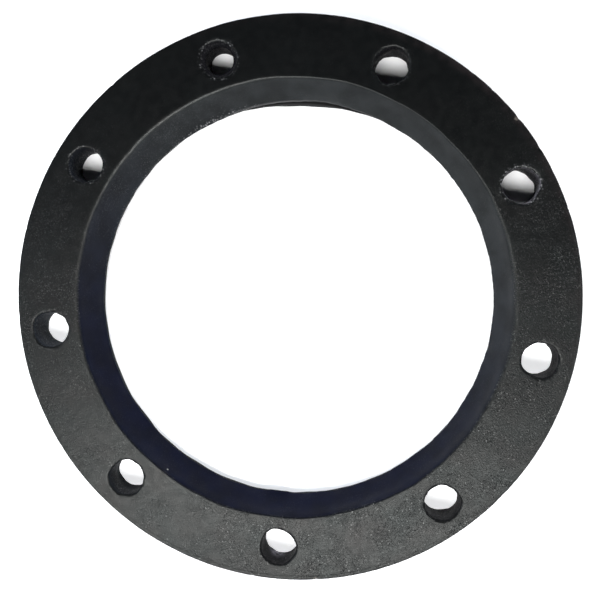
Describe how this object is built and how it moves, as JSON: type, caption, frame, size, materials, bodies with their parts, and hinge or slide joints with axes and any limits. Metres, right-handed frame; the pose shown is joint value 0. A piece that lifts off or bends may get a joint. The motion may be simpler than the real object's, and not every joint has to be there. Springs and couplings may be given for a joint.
{
  "type": "toilet flange",
  "caption": "Flat black cast ring flange with a funnel-shaped bore, a circle of plain bolt holes, and a thin rubber seal recessed under the bore's lip.",
  "frame": {"origin": "centre of the bore on the underside of the ring", "axes": "+Z along the bore, out of the wide end of the funnel; +X through the centre of one bolt hole"},
  "size_m": [0.178, 0.178, 0.0127],
  "materials": {
    "black_casting": "thin black paint, semi-matt, over fine sand-cast grain",
    "black_rubber": "flat rubber sheet, matt"
  },
  "bodies": {
    "root": {"flange_ring": "black_casting", "seal_ring": "black_rubber"}
  },
  "joints": []
}
